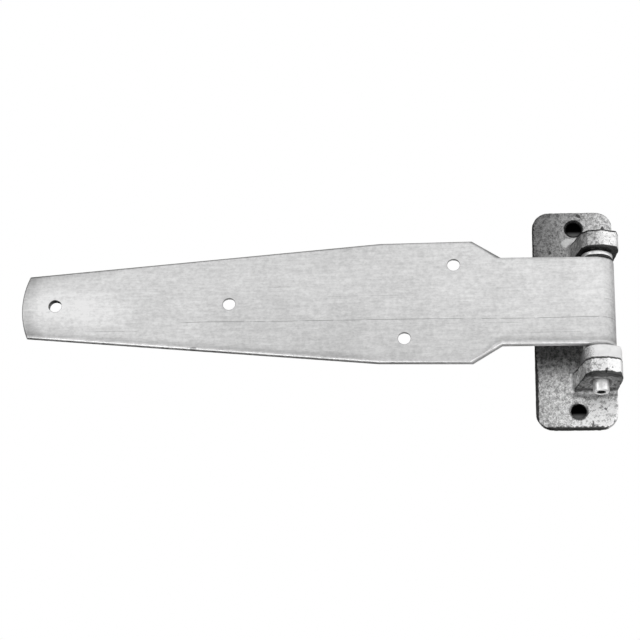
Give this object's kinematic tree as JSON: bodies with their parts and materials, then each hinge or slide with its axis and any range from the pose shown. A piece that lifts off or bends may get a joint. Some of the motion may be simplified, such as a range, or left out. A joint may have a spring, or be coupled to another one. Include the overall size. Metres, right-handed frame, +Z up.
{
  "type": "strap hinge",
  "caption": "Heavy gate strap hinge: a tapered steel strap with a rolled eye turns on a pin between the lugs of a cast flange plate.",
  "frame": {"origin": "centre of the flange plate's back face, where it meets the post", "axes": "+X along the strap from its tip to the eye, +Y into the post, +Z up along the pin"},
  "size_m": [0.3555, 0.0328, 0.1386],
  "materials": {
    "cast_zinc": "rough casting, hot-dip zinc, mottled light grey with dark pits",
    "plated_steel": "satin zinc plate with fine lengthwise rolling grain and light scratches",
    "bright_steel": "bright turned steel",
    "pale_nylon": "smooth matt off-white nylon"
  },
  "bodies": {
    "flange": {"flange": "cast_zinc", "hinge_pin": "bright_steel", "thrust_block": "pale_nylon"},
    "strap": {"strap": "plated_steel", "lower_bushing": "pale_nylon", "upper_bushing": "pale_nylon", "thrust_washer": "bright_steel"}
  },
  "joints": [
    {"name": "strap_swing", "type": "hinge", "parent": "flange", "child": "strap", "pos_m": [0.0136, -0.0196, 0], "axis": [0, 0, 1], "range_deg": [-25, 195]}
  ]
}
